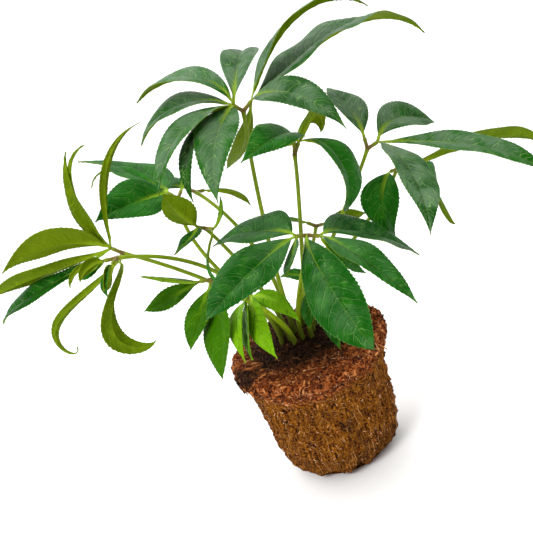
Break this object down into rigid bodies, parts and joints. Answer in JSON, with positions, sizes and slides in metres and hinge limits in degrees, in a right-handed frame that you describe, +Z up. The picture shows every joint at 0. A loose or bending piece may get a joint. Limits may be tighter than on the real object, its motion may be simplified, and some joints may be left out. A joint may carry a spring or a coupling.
{
  "type": "potted perennial plant out of its pot",
  "caption": "Hellebore lifted from its nursery pot: a tapered ball of peat and roots carrying long-stalked leaves with toothed, spreading leaflets.",
  "frame": {"origin": "centre of the flat base of the root ball, where the plant rests", "axes": "+Z up the axis of the root ball; the front leaf hangs towards -Y and the far left leaf reaches towards -X"},
  "size_m": [0.4634, 0.307, 0.3462],
  "materials": {
    "root_ball": "matte",
    "leaf": "satin",
    "young_leaf": "satin"
  },
  "bodies": {
    "root": {"root_ball": "root_ball", "leaf_tall": "leaf", "leaf_centre": "leaf", "leaf_right": "leaf", "leaf_right_back": "leaf", "leaf_front": "leaf", "leaf_far_left": "leaf", "leaf_far_left_small": "leaf", "leaf_upper_left": "leaf", "leaf_back_left": "leaf", "leaf_left_inner": "leaf", "leaf_lower_left": "young_leaf", "leaf_young_front": "young_leaf", "leaf_back_small": "leaf", "leaf_low_centre": "leaf"}
  },
  "joints": []
}
